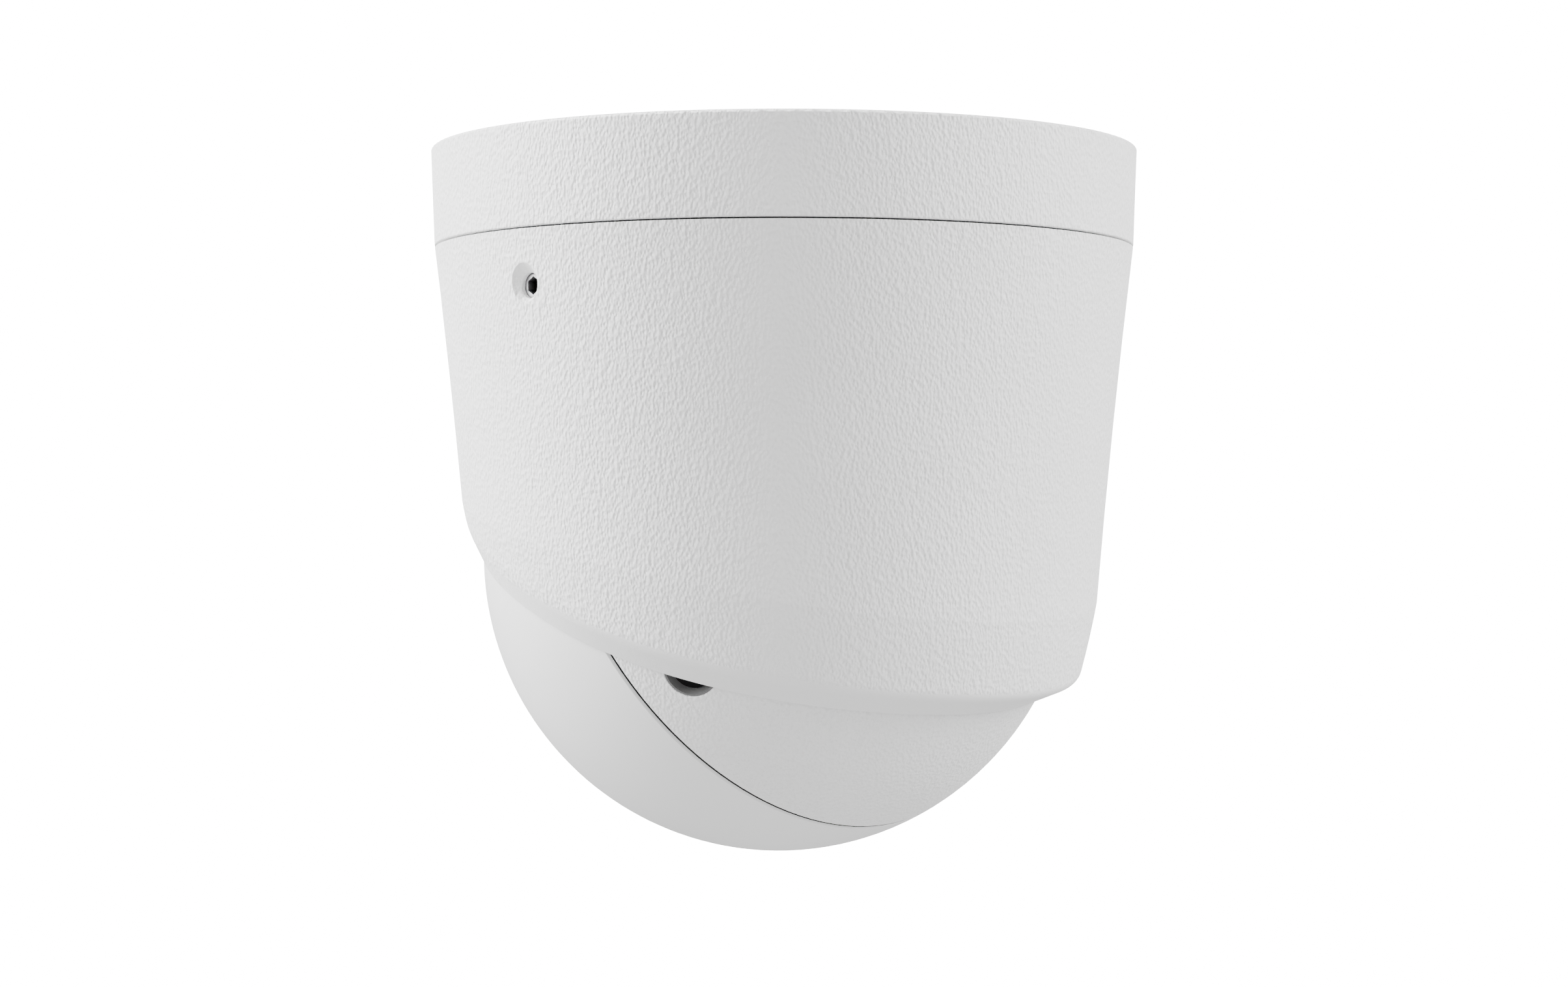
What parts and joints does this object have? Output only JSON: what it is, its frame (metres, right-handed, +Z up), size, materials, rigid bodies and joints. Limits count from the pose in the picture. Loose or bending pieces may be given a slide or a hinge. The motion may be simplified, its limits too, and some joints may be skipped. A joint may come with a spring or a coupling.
{
  "type": "dome cctv camera",
  "caption": "Ceiling security camera with a round base, a turning slant-mouthed cover and a ball that tilts and rotates behind a flat window.",
  "frame": {"origin": "centre of the face that lies on the ceiling", "axes": "+Z up towards the ceiling, -Y the way the lens looks, +X to the right of a person who looks along +Y"},
  "size_m": [0.1162, 0.1162, 0.1152],
  "materials": {
    "grained_white": "leather-grained white, low sheen",
    "smooth_white": "smooth satin white",
    "dark_glass": "polished dark tinted",
    "black_rubber": "matt",
    "zinc_steel": "zinc plated",
    "dark_screw": "stainless, dull",
    "white_acetal": "smooth",
    "brass": "turned",
    "black_plastic": "fine matt",
    "black_metal": "black anodised",
    "board_green": "solder mask",
    "lamp_resin": "clear resin",
    "lens_glass": "coated",
    "chip_black": "moulded",
    "pad_grey": "soft",
    "bare_aluminium": "plain",
    "grey_plastic": "fine matt"
  },
  "bodies": {
    "base": {"mounting_base": "grained_white", "ceiling_gasket": "black_rubber", "cable_grommet": "black_rubber", "cable_clamp": "zinc_steel", "clamp_screws": "zinc_steel", "pan_stop_pin": "zinc_steel"},
    "housing": {"housing_cover": "grained_white", "cover_lock_screws": "dark_screw", "seam_seal": "black_rubber"},
    "yoke": {"tilt_yoke": "zinc_steel", "pivot_pins": "zinc_steel", "crown_bush": "white_acetal"},
    "cut_filter": {"filter_carriage": "black_plastic", "ir_cut_glass": "lens_glass", "clear_glass": "lens_glass"},
    "ball": {"board_capacitors": "bare_aluminium", "board_connectors": "white_acetal", "board_screws": "zinc_steel", "board_spacers": "brass", "filter_coil": "black_plastic", "frame_screws": "zinc_steel", "front_shell": "smooth_white", "front_window": "dark_glass", "heat_sink": "bare_aluminium", "image_sensor": "chip_black", "inner_frame": "black_plastic", "ir_leds": "lamp_resin", "led_board": "board_green", "led_board_screws": "zinc_steel", "lens_barrel": "black_metal", "lens_front_glass": "lens_glass", "lens_holder": "black_plastic", "lens_lock_ring": "black_metal", "lens_rear_glass": "lens_glass", "lens_shroud": "black_rubber", "light_sensor": "lamp_resin", "main_board": "board_green", "processor_chip": "chip_black", "rear_shell": "grained_white", "recess_bezel": "grey_plastic", "sensor_board": "board_green", "service_plug": "black_rubber", "shell_screws": "zinc_steel", "shell_seal": "black_rubber", "spindle_cable_seal": "black_rubber", "spindle_nut": "brass", "spindle_washer": "white_acetal", "thermal_pad": "pad_grey", "window_gasket": "black_rubber"}
  },
  "joints": [
    {"name": "pan", "type": "hinge", "parent": "base", "child": "housing", "pos_m": [0, 0, -0.0249], "axis": [0, 0, 1], "range_deg": [-175, 175]},
    {"name": "tilt", "type": "hinge", "parent": "housing", "child": "yoke", "pos_m": [0, -0.00125, -0.0666], "axis": [1, 0, 0], "range_deg": [-5, 65]},
    {"name": "rotate", "type": "hinge", "parent": "yoke", "child": "ball", "pos_m": [0, -0.00125, -0.0666], "axis": [0, -0.9092, -0.4163], "range_deg": [-175, 175]},
    {"name": "filter_shift", "type": "slide", "parent": "ball", "child": "cut_filter", "axis": [1, 0, 0], "range_m": [0, 0.009]}
  ]
}
